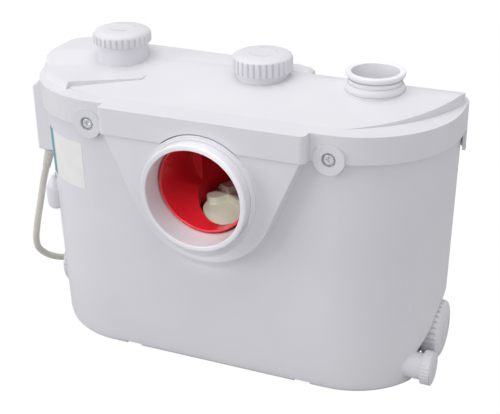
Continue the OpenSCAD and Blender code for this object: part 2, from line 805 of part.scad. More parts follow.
drain_cap_h = 9;
drain_ridges = 30;
drain_dome = 1.2;
module drain_plug() {
    color("whitesmoke") along_x(drain_cap_x - drain_cap_h - drain_dome, -drain_y, drain_z)
        ridged_cap(drain_cap_r, drain_cap_h, drain_dome, drain_neck_r + fit, drain_lid_t,
            drain_ridges, ridge_depth / 2);
}

module drain_seal() {
    color("dimgray") along_x(drain_tip, -drain_y, drain_z)
        ring(drain_neck_r - fit, drain_bore_r + fit, drain_seal_t);
}

// Box on the left end where the mains lead comes out
box_face_x = half_l + box_out;
box_front_y = corner_y - 33;
box_back_y = corner_y + 9.5;
box_foot_z = 174.5;
box_top_z = 240.8;
box_shoulder_z = 252;
box_wall = 2;
exit_in = 3.4;
exit_front = 5.5;
exit_at = [exit_in - half_l, box_front_y + exit_front, box_foot_z];
exit_tilt = 18;
relief_r = 5;
relief_tip_r = 4.1;
box_inner_share = 0.9;
module box_solid(grow) {
    shoulder_x = half_l - front_corner_r * 0.07;
    outline = [
        [-box_face_x - grow, box_foot_z - grow],
        [-half_l * box_inner_share, box_foot_z - grow],
        [-half_l * box_inner_share, box_shoulder_z + grow],
        [-shoulder_x, box_shoulder_z + grow],
        [-box_face_x - grow, box_top_z + grow]
    ];
    along_y(0, box_front_y - grow, 0) linear_extrude(box_back_y - box_front_y + 2 * grow)
        polygon([for (p = outline) [p.x, -p.y]]);
}

module cable_box() {
    color("lightgray") difference() {
        box_solid(0);
        tank_body(fit);
        slice(-fit, skirt_z - fit, rim_z);
        difference() {
            box_solid(-box_wall);
            tank_body(box_wall + fit);
            slice(-fit - box_wall, skirt_z - fit - box_wall, rim_z);
        }
        translate(exit_at) rotate([0, exit_tilt, 0])
            translate([0, 0, -relief_l]) cylinder(h = 2 * relief_l, r = relief_r + run_gap, $fn = 48);
        for (z = box_screw_heights) along_x(-box_face_x, box_screw_y, z)
            translate([0, 0, -cut]) cylinder(h = box_wall + 2 * cut, r = box_screw_r, $fn = 32);
        lead_hole();
    }
}

box_screw_r = 1.6;
box_screw_in = 12;
box_screw_head_h = 1.4;
box_screw_l = 7;
box_screw_y = (box_front_y + box_back_y) / 2;
box_screw_heights = [box_foot_z + box_screw_in, box_top_z - box_screw_in];
module cable_box_screws() {
    color("silver") for (z = box_screw_heights)
        translate([-box_face_x, box_screw_y, z]) rotate([0, -90, 0])
            cross_screw(2 * box_screw_r, box_screw_head_h, box_screw_r, box_screw_l);
}

// Tapered strain relief, tilted along the lead's way out
relief_in = 5;
module strain_relief() {
    color("lightgray") translate(exit_at) rotate([0, exit_tilt, 0]) {
        translate([0, 0, -relief_in / 2]) cylinder(h = relief_in, r = relief_r, $fn = 48);
        translate([0, 0, -relief_l]) cylinder(h = relief_l - relief_in / 2, r1 = relief_tip_r, r2 = relief_r, $fn = 48);
    }
}

// Route of the lead from the strain relief to the coil on the floor
cord_r = cord_d / 2;
relief_end = exit_at - relief_l * [sin(exit_tilt), 0, cos(exit_tilt)];
coil_lift = 1.2;
coil_c = [-95, 136];
coil_r = 43;
coil_z = coil_lift + cord_r;
coil_start = [coil_c.x - cord_d, coil_c.y - coil_r, coil_z];
cord_points = [
    [-212.5, -4.5, 140.5], [-215.5, -6, 126], [-218, -8, 112], [-221, -9.5, 98],
    [-224, -10, 84], [-227, -9, 71], [-229, -5, 58], [-229, 3, 48], [-228, 13, 39],
    [-226, 25, 31], [-224, 38, 24], [-221, 50, 17], [-213, 63, 11], [-200, 76, 7],
    [-184, 85, 5], [-166, 90, 4.6], [-147, 92, 4.6], [-126, 93, 4.6]
];

function unit(v) = v / norm(v);
// Smooth curve through four points, at a share of the middle span
function curve_at(a, b, c, d, t) =
    (b * 2 + (c - a) * t + (a * 2 - b * 5 + c * 4 - d) * t * t
        + (b * 3 - a - c * 3 + d) * t * t * t) / 2;
// Samples of the curve through a list of points
function curve(points, steps) = concat(
    [for (i = [1:len(points) - 3], k = [0:steps - 1])
        curve_at(points[i - 1], points[i], points[i + 1], points[i + 2], k / steps)],
    [points[len(points) - 2]]
);
// Ring normals carried along the path without twist
function carry(n, t) = unit(n - t * (n * t));
function normals(tangents, first) =
    [for (i = 0, n = carry(first, tangents[0]); i < len(tangents);
        i = i + 1, n = i < len(tangents) ? carry(n, tangents[i]) : n) n];
// Closed tube along a list of centres, tangents and ring normals
module tube(centres, tangents, ups, r, sides) {
    m = len(centres);
    last = (m - 1) * sides;
    points = [for (i = [0:m - 1], j = [0:sides - 1])
        let (a = 360 * j / sides, side = cross(tangents[i], ups[i]))
        centres[i] + r * (cos(a) * ups[i] + sin(a) * side)];
    faces = concat(
        [for (j = [1:sides - 2]) [0, j, j + 1]],
        [for (j = [1:sides - 2]) [last, last + j + 1, last + j]],
        [for (i = [0:m - 2], j = [0:sides - 1])
            [i * sides + j, (i + 1) * sides + j, (i + 1) * sides + (j + 1) % sides]],
        [for (i = [0:m - 2], j = [0:sides - 1])
            [i * sides + j, (i + 1) * sides + (j + 1) % sides, i * sides + (j + 1) % sides]]
    );
    polyhedron(points = points, faces = faces, convexity = 10);
}

// Tube through points that starts and ends along given directions
module swept(points, start_way, end_way, r, sides, steps) {
    n = len(points);
    path = curve(concat(
        [points[0] - start_way * norm(points[1] - points[0])],
        points,
        [points[n - 1] + end_way * norm(points[n - 1] - points[n - 2])]
    ), steps);
    m = len(path);
    tangents = [for (i = [0:m - 1])
        i == 0 ? unit(start_way) : i == m - 1 ? unit(end_way) : unit(path[i + 1] - path[i - 1])];
    tube(path, tangents, normals(tangents, [0, 1, 0]), r, sides);
}

module power_cord() {
    way = [-sin(exit_tilt), 0, -cos(exit_tilt)];
    color("antiquewhite") swept(concat([relief_end], cord_points, [coil_start]), way, [1, 0, 0], cord_r, 10, 3);
}

// Coil: the bottom layer winds in, climbs in half a turn and winds out on top
coil_pitch = cord_d + cord_gap;
coil_turns = 2 * coil_layer_turns + 0.5;
coil_steps = 24;
function climb(u) = let (t = min(max((u - coil_layer_turns) / 0.5, 0), 1)) t * t * (3 - 2 * t);
function coil_radius(u) = coil_r - coil_pitch * min(u, coil_turns - u);
function coil_point(u) = let (a = 360 * u - 90) [
    coil_c.x + coil_radius(u) * cos(a),
    coil_c.y + coil_radius(u) * sin(a),
    coil_z + coil_pitch * climb(u)
];
coil_points = [for (i = [0:coil_turns * coil_steps]) coil_point(i / coil_steps)];
coil_end_way = [cos(360 * coil_turns), sin(360 * coil_turns), 0];
coil_lead_out = 30;
coil_path = concat([coil_start], coil_points,
    [coil_points[len(coil_points) - 1] + coil_end_way * coil_lead_out]);
// Least distance between centres half a turn or more apart, less the lead
function coil_gap() = min([for (i = [0:len(coil_points) - 1 - coil_steps / 2])
    min([for (j = [i + coil_steps / 2:len(coil_points) - 1]) norm(coil_points[i] - coil_points[j])])
]) - cord_d;

module cord_coil() {
    m = len(coil_path);
    tangents = [for (i = [0:m - 1])
        i == 0 ? [1, 0, 0] : i == m - 1 ? coil_end_way : unit(coil_path[i + 1] - coil_path[i - 1])];
    echo(least_gap_between_turns = coil_gap());
    color("antiquewhite") tube(coil_path, tangents, normals(tangents, [0, 0, 1]), cord_r, 6);
}

tie_w = 6;
tie_t = 0.9;
module cord_tie() {
    near = coil_radius(coil_layer_turns - 0.25) - cord_r - fit;
    far = coil_radius(0.25) + cord_r + fit;
    top = coil_lift + cord_d + coil_pitch + fit;
    color("dimgray") translate([coil_c.x, coil_c.y, 0]) difference() {
        translate([near - tie_t, -tie_w / 2, 0]) cube([far - near + 2 * tie_t, tie_w, top + tie_t]);
        translate([near, -tie_w, tie_t]) cube([far - near, 2 * tie_w, top - tie_t]);
    }
}

// Moulded plug beside the coil, with three flat pins
plug_l = 40;
plug_w = 26;
plug_back_w = 14;
plug_z = coil_z + coil_pitch;
plug_half_h = plug_z - fit;
plug_start = coil_path[len(coil_path) - 1];
plug_grip = 14;
pin_l = 17;
pin_w = 6.3;
pin_t = 1.6;
pin_gap = 13.8;
module at_plug() {
    translate(plug_start) rotate([0, 0, atan2(coil_end_way.y, coil_end_way.x)]) children();
}
module mains_plug() {
    color("antiquewhite") at_plug() {
        difference() {
            translate([0, 0, -plug_half_h]) linear_extrude(2 * plug_half_h) polygon([
                [0, -plug_back_w / 2], [plug_l * 0.55, -plug_w / 2], [plug_l, -plug_w / 2],
                [plug_l, plug_w / 2], [plug_l * 0.55, plug_w / 2], [0, plug_back_w / 2]
            ]);
            for (s = [-1, 1]) translate([plug_grip, s * (plug_w / 2 + cut), -plug_z])
                cylinder(h = 2 * plug_z, r = plug_w / 5, $fn = 32);
        }
    }
}

module plug_pins() {
    color("silver") at_plug() {
        for (s = [-1, 1]) translate([plug_l, s * pin_gap / 2 - pin_t / 2, 0]) cube([pin_l, pin_t, pin_w]);
        translate([plug_l, -pin_w / 2, -pin_w]) cube([pin_l, pin_w, pin_t]);
    }
}

// Leads inside the tank
lead_r = 3;
box_lead_up = 33.5;
box_lead_z = box_foot_z + box_lead_up;
box_lead_y = (box_front_y + box_back_y) / 2;
control_gap = 70;
control_l = 52;
control_in = 19.5;
control_h = 59.9;
control_x1 = motor_x - control_gap;
control_x0 = control_x1 - control_l;
control_mid_x = (control_x0 + control_x1) / 2;
control_half = half_d - control_in;
control_floor_z = deck_z - control_h;
control_t = 2;
module supply_lead() {
    color("gray") swept([
        [-box_face_x + 2 * box_wall, box_lead_y, box_lead_z],
        [-half_l * 0.92, box_lead_y, box_lead_z],
        [-half_l * 0.84, box_lead_y, box_lead_z - lead_r / 2],
        [-half_l * 0.72, box_lead_y, box_lead_z - 2 * lead_r],
        [-half_l * 0.58, box_lead_y, box_lead_z - lead_r],
        [control_x0, box_lead_y, box_lead_z]
    ], [1, 0, 0], [1, 0, 0], lead_r, 8, 3);
}

motor_lead_z = 104;
module motor_lead() {
    x0 = control_mid_x;
    x1 = motor_x - motor_r;
    color("gray") swept([
        [x0, -control_half / 2, control_floor_z],
        [x0, -control_half / 2, control_floor_z - 0.25 * motor_lead_z],
        [x0, -control_half / 2, control_floor_z - 0.55 * motor_lead_z],
        [x0 + 3 * lead_r, -control_half / 3, motor_lead_z + 4 * lead_r],
        [x0 * 0.7, -control_half / 6, motor_lead_z + lead_r],
        [x1, 0, motor_lead_z]
    ], [0, 0, -1], [1, 0, 0], lead_r, 8, 3);
}

// Two bare labels on the front left curve of the tank
label_t = 0.3;
module label(a0, a1, z0, z1) {
    c = [-corner_x, corner_y];
    intersection() {
        difference() {
            tank_body(label_t);
            tank_body(0);
        }
        translate([c.x, c.y, z0]) linear_extrude(z1 - z0)
            polygon(concat([[0, 0]], arc([0, 0], rim_l, a0, a1, 8)));
    }
}

label_z0 = 166.5;
label_z1 = 213.5;
blank_label_ways = [-130, -100];
stripe_label_ways = [-140, -133];
module blank_label() {
    color("white") label(blank_label_ways[0], blank_label_ways[1], label_z0, label_z1);
}

module stripe_label() {
    color("teal") label(stripe_label_ways[0], stripe_label_ways[1], label_z0, label_z1);
}

// Cutting pot: an open pot on the motor, with a throat into the spigot
cover_screw_r = 1.5;
cover_screw_in = 5;
cover_screw_at = motor_r - cover_screw_in;
carrier_r = cover_screw_at - 2 * cover_screw_r - fit;
pot_wall = 2.5;
pot_foot_h = 7;
pot_floor_z = motor_top_z + pot_foot_h;
pot_floor_t = 3;
pot_head_room = 17.9;
pot_top_z = deck_z - pot_head_room;
throat_r = spigot_bore_r - fit;
throat_wall = 2.2;
throat_l = 23;
throat_y = spigot_face_y + throat_l;
slot_count = 24;
slot_w = 3;
slot_h = 16;
module inlet_pot() {
    floor_z = pot_floor_z - pot_floor_t;
    color("crimson") difference() {
        union() {
            translate([motor_x, 0, floor_z]) cylinder(h = pot_top_z - floor_z, r = pot_r + pot_wall, $fn = 120);
            along_y(0, throat_y, spigot_z) cylinder(h = -throat_y, r = throat_r, $fn = 120);
            translate([motor_x, 0, motor_top_z])
                cylinder(h = floor_z - motor_top_z, r = carrier_r, $fn = 96);
        }
        translate([motor_x, 0, pot_floor_z]) cylinder(h = pot_top_z, r = pot_r, $fn = 120);
        along_y(0, throat_y - cut, spigot_z)
            cylinder(h = -throat_y - throat_wall + cut, r = throat_r - throat_wall, $fn = 120);
        translate([motor_x, 0, motor_top_z - cut])
            cylinder(h = floor_z - motor_top_z + cut, r = carrier_r - wall_t, $fn = 96);
        translate([motor_x, 0, floor_z - cut]) cylinder(h = pot_floor_t + 2 * cut, r = hub_r + fit, $fn = 64);
        for (i = [0:slot_count - 1]) translate([motor_x, 0, pot_floor_z])
            rotate([0, 0, 360 * (i + 0.5) / slot_count])
                translate([pot_r - cut, -slot_w / 2, 0]) cube([pot_wall + 2 * cut, slot_w, slot_h]);
    }
}

// Cutter: a disc under a bar whose ends carry round lobes, blocks and blades
hub_r = 9;
disc_gap = 9;
disc_z = pot_floor_z + disc_gap;
disc_t = 6;
cutter_way = 147;
arm_w = 24;
arm_h = 14;
arm_top_z = disc_z + disc_t + arm_h;
lobe_h = 7;
lobe_top_z = disc_z + disc_t + lobe_h;
lobe_t = 14;
lobe_in = 7;
lobe_out = cutter_r - lobe_in;
lobe_reach = 23.5;
blade_t = 2;
blade_h = arm_h - lobe_h - 2 * fit;
blade_over = 4;
blade_tip_over = 1;
shaft_stub = 4;
shaft_top_z = arm_top_z + shaft_stub;
nut_r = 8;
nut_h = 5;
nut_stub = 3.2;
hub_top_z = shaft_top_z - nut_stub - nut_h;
hub_foot_z = pot_floor_z - pot_floor_t / 2 + fit;
// Both ends of the cutter's bar
module bar_ends(z) {
    for (a = [0, 180]) translate([motor_x, 0, z]) rotate([0, 0, cutter_way + a]) children();
}
module cutter() {
    lobe_l = lobe_top_z - disc_z;
    color("wheat") difference() {
        union() {
            translate([motor_x, 0, hub_foot_z]) cylinder(h = hub_top_z - hub_foot_z, r = hub_r, $fn = 64);
            translate([motor_x, 0, disc_z]) cylinder(h = disc_t, r = cutter_r, $fn = 96);
            bar_ends(disc_z) {
                translate([0, -arm_w / 2, 0]) cube([lobe_out, arm_w, lobe_l]);
                translate([lobe_out - lobe_t, -lobe_reach, 0]) cube([lobe_t, 2 * lobe_reach, lobe_l]);
                for (y = [-lobe_reach, lobe_reach]) translate([lobe_out - lobe_t / 2, y, 0])
                    cylinder(h = lobe_l, r = lobe_t / 2, $fn = 48);
                translate([lobe_out - lobe_t, -arm_w / 2, 0]) cube([lobe_t - blade_t, arm_w, arm_top_z - disc_z]);
            }
        }
        translate([motor_x, 0, 0]) cylinder(h = rim_z, r = shaft_r, $fn = 48);
    }
}

module cutter_blades() {
    color("silver") bar_ends(lobe_top_z + fit) translate([lobe_out - blade_t, 0, 0]) rotate([90, 0, 90])
        linear_extrude(blade_t) polygon([
            [-arm_w / 2 - blade_over, 0], [arm_w / 2 + blade_over, 0],
            [arm_w / 2 + blade_tip_over, blade_h], [-arm_w / 2 - blade_tip_over, blade_h]
        ]);
}

module cutter_nut() {
    color("silver") translate([motor_x, 0, hub_top_z]) difference() {
        cylinder(h = nut_h, r = nut_r, $fn = 6);
        translate([0, 0, -cut]) cylinder(h = nut_h + 2 * cut, r = shaft_r, $fn = 48);
    }
}

base_foot_h = 4;
base_plate_z = floor_t + base_foot_h;
base_plate_t = 3;
volute_z = base_plate_z + base_plate_t;
volute_h = 23;
volute_wall = 5;
impeller_gap = 3;
shaft_foot_z = volute_z + impeller_gap;
module motor_shaft() {
    color("silver") translate([motor_x, 0, shaft_foot_z]) cylinder(h = shaft_top_z - shaft_foot_z, r = shaft_r, $fn = 48);
}

// Sealed motor: case and cover, stator, rotor, two bearings and two seals
case_foot_z = volute_z + volute_h;
case_floor_t = 4;
cover_t = 4;
bearing_ro = 15;
bearing_h = 9;
boss_wall = 3;
seal_ro = 11;
bearing_seat_t = 4;
bearing_top_t = 2;
bottom_bearing_z = case_foot_z + case_floor_t + bearing_seat_t;
top_bearing_z = motor_top_z - cover_t - bearing_h - bearing_top_t;
core_lift = 26;
core_h = 36;
core_z0 = case_foot_z + core_lift;
core_z1 = core_z0 + core_h;
coil_end_h = 8;
rotor_over = 2;
stator_ri = 26;
rotor_gap = 0.5;
module motor_case() {
    color("dimgray") translate([motor_x, 0, case_foot_z]) {
        difference() {
            cylinder(h = motor_top_z - cover_t - case_foot_z, r = motor_r, $fn = 96);
            translate([0, 0, case_floor_t]) cylinder(h = motor_top_z, r = motor_r - wall_t, $fn = 96);
            translate([0, 0, -cut]) cylinder(h = case_floor_t + 2 * cut, r = seal_ro, $fn = 64);
        }
        translate([0, 0, case_floor_t]) ring(bearing_ro + boss_wall, bearing_ro, bearing_h + bearing_seat_t);
        translate([0, 0, case_floor_t]) ring(bearing_ro, seal_ro, bearing_seat_t);
        for (a = [45:90:315]) rotate([0, 0, a])
            translate([cover_screw_at, 0, motor_top_z - cover_t - cover_boss_l - case_foot_z]) difference() {
                cylinder(h = cover_boss_l, r = cover_boss_r, $fn = 32);
                translate([0, 0, cover_boss_l / 3]) cylinder(h = cover_boss_l, r = cover_screw_r, $fn = 24);
            }
    }
}

module motor_cover() {
    color("dimgray") translate([motor_x, 0, 0]) {
        difference() {
            translate([0, 0, motor_top_z - cover_t]) cylinder(h = cover_t, r = motor_r, $fn = 96);
            translate([0, 0, motor_top_z - cover_t - cut]) cylinder(h = cover_t + 2 * cut, r = seal_ro, $fn = 64);
            for (a = [45:90:315]) rotate([0, 0, a]) translate([cover_screw_at, 0, motor_top_z - cover_t - cut])
                cylinder(h = cover_t + 2 * cut, r = cover_screw_r, $fn = 24);
        }
        translate([0, 0, top_bearing_z]) ring(bearing_ro + boss_wall, bearing_ro, motor_top_z - cover_t - top_bearing_z);
        translate([0, 0, top_bearing_z + bearing_h]) ring(bearing_ro, seal_ro, bearing_top_t);
    }
}

cover_boss_r = 3.5;
cover_boss_l = 14;
cover_screw_head_h = 2;
cover_screw_bite = 6;
module cover_screws() {
    color("silver") translate([motor_x, 0, motor_top_z]) for (a = [45:90:315]) rotate([0, 0, a])
        translate([cover_screw_at, 0, 0]) 
            cross_screw(2 * cover_screw_r, cover_screw_head_h, cover_screw_r, cover_t + cover_screw_bite);
}

module stator_core() {
    color("slategray") translate([motor_x, 0, core_z0]) ring(motor_r - wall_t - fit / 6, stator_ri, core_h);
}

module stator_coils() {
    color("peru") translate([motor_x, 0, 0]) for (z = [core_z0 - coil_end_h, core_z1])
        translate([0, 0, z]) ring(motor_r - 3 * wall_t, stator_ri + wall_t, coil_end_h);
}

module rotor_core() {
    color("lightslategray") translate([motor_x, 0, core_z0 - rotor_over])
        ring(stator_ri - rotor_gap, shaft_r, core_h + 2 * rotor_over);
}

module top_bearing() {
    color("silver") translate([motor_x, 0, top_bearing_z]) ring(bearing_ro, shaft_r + run_gap, bearing_h);
}

module bottom_bearing() {
    color("silver") translate([motor_x, 0, bottom_bearing_z]) ring(bearing_ro, shaft_r + run_gap, bearing_h);
}

module top_seal() {
    color("black") translate([motor_x, 0, motor_top_z - cover_t]) ring(seal_ro, shaft_r + run_gap, cover_t);
}

module bottom_seal() {
    color("black") translate([motor_x, 0, case_foot_z]) ring(seal_ro, shaft_r + run_gap, case_floor_t);
}

// Pump under the motor: suction plate on feet, volute and impeller
volute_roof_t = 3.5;
volute_bore_r = volute_r - volute_wall;
riser_y = neck_y;
riser_z = volute_z + riser_r;
riser_stub = 17;
riser_start_x = motor_x + volute_r + riser_stub;
suction_r = 14;
foot_r = 4;
module pump_base() {
    color("lightgray") translate([motor_x, 0, 0]) {
        translate([0, 0, base_plate_z]) ring(volute_r, suction_r, base_plate_t);
        for (a = [30:120:270]) rotate([0, 0, a]) translate([volute_r - 2 * foot_r, 0, floor_t])
            cylinder(h = base_plate_z - floor_t, r = foot_r, $fn = 32);
    }
}

module pump_volute() {
    color("lightgray") difference() {
        union() {
            translate([motor_x, 0, volute_z]) cylinder(h = case_foot_z - volute_z, r = volute_r, $fn = 96);
            along_x(motor_x, riser_y, riser_z) cylinder(h = riser_start_x - motor_x, r = riser_r, $fn = 64);
        }
        translate([motor_x, 0, volute_z - cut])
            cylinder(h = case_foot_z - volute_z - volute_roof_t + cut, r = volute_bore_r, $fn = 96);
        translate([motor_x, 0, volute_z]) cylinder(h = case_foot_z, r = shaft_r + 4 * fit, $fn = 48);
        along_x(motor_x, riser_y, riser_z) cylinder(h = rim_l, r = riser_bore_r, $fn = 64);
    }
}

vane_count = 6;
vane_h = 9;
vane_t = 2.5;
vane_way = 20;
impeller_disc_t = 3;
module impeller() {
    color("wheat") translate([motor_x, 0, shaft_foot_z]) difference() {
        union() {
            translate([0, 0, vane_h]) cylinder(h = impeller_disc_t, r = impeller_r, $fn = 96);
            cylinder(h = vane_h, r = hub_r, $fn = 48);
            for (i = [0:vane_count - 1]) rotate([0, 0, 360 * i / vane_count])
                translate([hub_r - cut, -vane_t / 2, 0]) rotate([0, 0, vane_way])
                    cube([impeller_r - hub_r - cut, vane_t, vane_h]);
        }
        translate([0, 0, -cut]) cylinder(h = vane_h + impeller_disc_t + 2 * cut, r = shaft_r, $fn = 48);
    }
}

// Riser: from the volute along X, round a bend and up to the check valve
riser_bend = 22;
module riser_pipe() {
    bend_x = outlet_x - riser_bend;
    top = valve_seat_z - valve_floor_t;
    color("lightgray") difference() {
        union() {
            along_x(riser_start_x, riser_y, riser_z) cylinder(h = bend_x - riser_start_x, r = riser_r, $fn = 64);
            translate([bend_x, riser_y, riser_z + riser_bend]) rotate([90, 0, 0]) rotate([0, 0, -90])
                rotate_extrude(angle = 90, $fn = 96) translate([riser_bend, 0]) circle(r = riser_r, $fn = 48);
            translate([outlet_x, riser_y, riser_z + riser_bend])
                cylinder(h = top - riser_z - riser_bend, r = riser_r, $fn = 64);
        }
        along_x(riser_start_x - cut, riser_y, riser_z)
            cylinder(h = bend_x - riser_start_x + cut, r = riser_bore_r, $fn = 64);
        translate([bend_x, riser_y, riser_z + riser_bend]) rotate([90, 0, 0]) rotate([0, 0, -90])
            rotate_extrude(angle = 90, $fn = 96) translate([riser_bend, 0]) circle(r = riser_bore_r, $fn = 48);
        translate([outlet_x, riser_y, riser_z + riser_bend])
            cylinder(h = top, r = riser_bore_r, $fn = 64);
    }
}

clamp_w = 8;
clamp_t = 1.5;
module riser_clamps() {
    color("silver") {
        along_x(riser_start_x - clamp_w / 2, riser_y, riser_z) ring(riser_r + clamp_t, riser_r, clamp_w);
        translate([outlet_x, riser_y, valve_seat_z - valve_floor_t - clamp_w])
            ring(riser_r + clamp_t, riser_r, clamp_w);
    }
}

// Dry box under the lid with the capacitor and the level switch
module control_box() {
    size = [control_x1 - control_x0, 2 * control_half, tank_z + gasket_t - control_floor_z];
    color("lightgray") difference() {
        translate([control_x0, -control_half, control_floor_z]) cube(size);
        translate([control_x0 + control_t, -control_half + control_t, control_floor_z + control_t])
            cube(size - [2 * control_t, 2 * control_t, 2 * control_t]);
        translate([switch_x, switch_y, control_floor_z - cut]) cylinder(h = control_t + 2 * cut, r = plunger_r + run_gap, $fn = 32);
    }
}

cap_can_r = 15;
cap_can_l = 52;
module run_capacitor() {
    color("black") along_y(control_mid_x, -control_half + control_t, control_floor_z + control_t + cap_can_r)
        cylinder(h = cap_can_l, r = cap_can_r, $fn = 64);
}

switch_in = 24;
switch_x = control_mid_x;
switch_y = control_half - switch_in;
switch_r = 19;
switch_h = 18;
plunger_r = 3;
plunger_h = 9;
plunger_travel = 1.5;
plunger_room = 2;
diaphragm_drop = 7;
diaphragm_t = 1;
diaphragm_z = control_floor_z - diaphragm_drop;
micro_size = [14, 8, 9];
micro_leg = 3;
micro_lift = plunger_travel + plunger_room;
module micro_switch() {
    color("black")
        translate([switch_x - micro_size.x / 2, switch_y - micro_size.y / 2, control_floor_z + control_t]) {
            translate([0, 0, micro_lift]) cube(micro_size);
            for (x = [0, micro_size.x - micro_leg]) translate([x, 0, 0])
                cube([micro_leg, micro_size.y, micro_lift + cut]);
        }
}

housing_floor_t = 3;
housing_t = 2;

module switch_housing() {
    color("silver") translate([switch_x, switch_y, control_floor_z - switch_h]) difference() {
        cylinder(h = switch_h, r = switch_r, $fn = 64);
        translate([0, 0, housing_floor_t])
            cylinder(h = switch_h - housing_floor_t - housing_t, r = switch_r - housing_t, $fn = 64);
        translate([0, 0, -cut]) cylinder(h = housing_floor_t + 2 * cut, r = dip_ri, $fn = 48);
        translate([0, 0, housing_floor_t]) cylinder(h = switch_h, r = plunger_r + run_gap, $fn = 32);
    }
}

module switch_diaphragm() {
    color("dimgray") translate([switch_x, switch_y, diaphragm_z]) cylinder(h = diaphragm_t, r = switch_r - housing_t, $fn = 64);
}

module switch_plunger() {
    color("white") translate([switch_x, switch_y, diaphragm_z + diaphragm_t]) cylinder(h = plunger_h, r = plunger_r, $fn = 32);
}

dip_ro = 8;
dip_ri = 6;
dip_foot_z = 18;
module dip_tube() {
    color("silver") translate([switch_x, switch_y, dip_foot_z])
        ring(dip_ro, dip_ri, control_floor_z - switch_h - dip_foot_z);
}

tank();
lid();
lid_gasket();
lid_screws();
left_cap();
left_cap_seal();
centre_cap();
centre_cap_seal();
outlet_collar();
valve_body();
valve_flap();
right_side_cap();
right_side_seal();
left_side_cap();
left_side_seal();
drain_plug();
drain_seal();
cable_box();
cable_box_screws();
strain_relief();
power_cord();
cord_coil();
cord_tie();
mains_plug();
plug_pins();
supply_lead();
motor_lead();
blank_label();
stripe_label();
inlet_pot();
cutter();
cutter_blades();
cutter_nut();
motor_shaft();
motor_case();
motor_cover();
cover_screws();
stator_core();
stator_coils();
rotor_core();
top_bearing();
bottom_bearing();
top_seal();
bottom_seal();
pump_volute();
pump_base();
impeller();
riser_pipe();
riser_clamps();
control_box();
run_capacitor();
micro_switch();
switch_housing();
switch_diaphragm();
switch_plunger();
dip_tube();
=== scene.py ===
import math
import bmesh
import bpy
from mathutils import Matrix, Vector


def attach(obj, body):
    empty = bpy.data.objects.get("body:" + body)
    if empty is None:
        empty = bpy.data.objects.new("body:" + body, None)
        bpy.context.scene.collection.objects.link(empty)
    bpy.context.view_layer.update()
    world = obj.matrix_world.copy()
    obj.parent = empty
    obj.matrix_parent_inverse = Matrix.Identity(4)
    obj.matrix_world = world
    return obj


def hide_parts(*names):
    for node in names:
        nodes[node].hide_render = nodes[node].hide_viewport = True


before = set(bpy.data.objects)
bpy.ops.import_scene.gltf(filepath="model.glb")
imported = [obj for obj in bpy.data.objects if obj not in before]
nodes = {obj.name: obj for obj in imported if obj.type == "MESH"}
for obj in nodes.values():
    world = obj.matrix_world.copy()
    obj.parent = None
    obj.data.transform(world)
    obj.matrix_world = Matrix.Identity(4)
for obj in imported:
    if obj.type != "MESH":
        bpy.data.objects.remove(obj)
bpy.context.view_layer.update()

# Camera at the photograph's viewing angle, from the front right and above
azimuth, elevation, roll = math.radians(23.24), math.radians(25.9), math.radians(-0.87)
back = Vector((math.sin(azimuth) * math.cos(elevation),
               -math.cos(azimuth) * math.cos(elevation), math.sin(elevation)))
right = Vector((0, 0, 1)).cross(back).normalized()
up = back.cross(right)
right, up = (right * math.cos(roll) + up * math.sin(roll),
             up * math.cos(roll) - right * math.sin(roll))
camera_data = bpy.data.cameras.new("camera")
camera_data.lens = 79.03
camera_data.sensor_width = 36
camera_data.clip_start = 0.05
camera_data.clip_end = 20
camera = bpy.data.objects.new("camera", camera_data)
bpy.context.scene.collection.objects.link(camera)
camera.matrix_world = Matrix.Translation((0.3844, -0.8624, 0.6004)) @ Matrix((
    (right.x, up.x, back.x, 0), (right.y, up.y, back.y, 0), (right.z, up.z, back.z, 0), (0, 0, 0, 1)))
bpy.context.scene.camera = camera

# Mains lead, one length of 6.8 mm cream grey cable. It leaves the strain
# relief under the cable box, hangs to the floor round the tank's left end
# and is stored behind the tank in a tied coil that ends in its plug.
cord_d = 0.0068
tilt = math.radians(18)
cord_exit = Vector((-0.2016 - 0.022 * math.sin(tilt), -0.004, 0.1745 - 0.022 * math.cos(tilt)))
hanging = [
    (-0.2125, -0.0045, 0.1405), (-0.2155, -0.006, 0.126), (-0.218, -0.008, 0.112),
    (-0.221, -0.0095, 0.098), (-0.224, -0.010, 0.084), (-0.227, -0.009, 0.071),
    (-0.2288, -0.005, 0.058), (-0.2288, 0.003, 0.048), (-0.228, 0.013, 0.039),
    (-0.226, 0.025, 0.031), (-0.224, 0.038, 0.024), (-0.221, 0.050, 0.017),
    (-0.213, 0.063, 0.011), (-0.200, 0.076, 0.007), (-0.184, 0.085, 0.005),
    (-0.166, 0.090, 0.0046), (-0.147, 0.092, 0.0046), (-0.126, 0.093, 0.0046)]
coil_centre = Vector((-0.095, 0.136))
coil_r, coil_pitch, coil_turns, coil_z = 0.043, 0.0074, 3.5, 0.0046
coil_steps, lead_out = 48, 0.030


# Point on the coil after u turns. The lead winds inwards on the floor, climbs
# between one and a half and two turns, and winds outwards again on top.
def coil_point(u):
    a = 2 * math.pi * u - math.pi / 2
    r = coil_r - coil_pitch * min(u, coil_turns - u)
    t = min(max((u - 1.5) / 0.5, 0), 1)
    return Vector((coil_centre.x + r * math.cos(a), coil_centre.y + r * math.sin(a),
                   coil_z + coil_pitch * t * t * (3 - 2 * t)))


def catmull(points, steps):
    out = []
    for i in range(1, len(points) - 2):
        a, b, c, d = points[i - 1:i + 3]
        for k in range(steps):
            t = k / steps
            out.append((2 * b + (c - a) * t + (2 * a - 5 * b + 4 * c - d) * t * t
                        + (3 * b - a - 3 * c + d) * t ** 3) / 2)
    return out + [points[-2]]


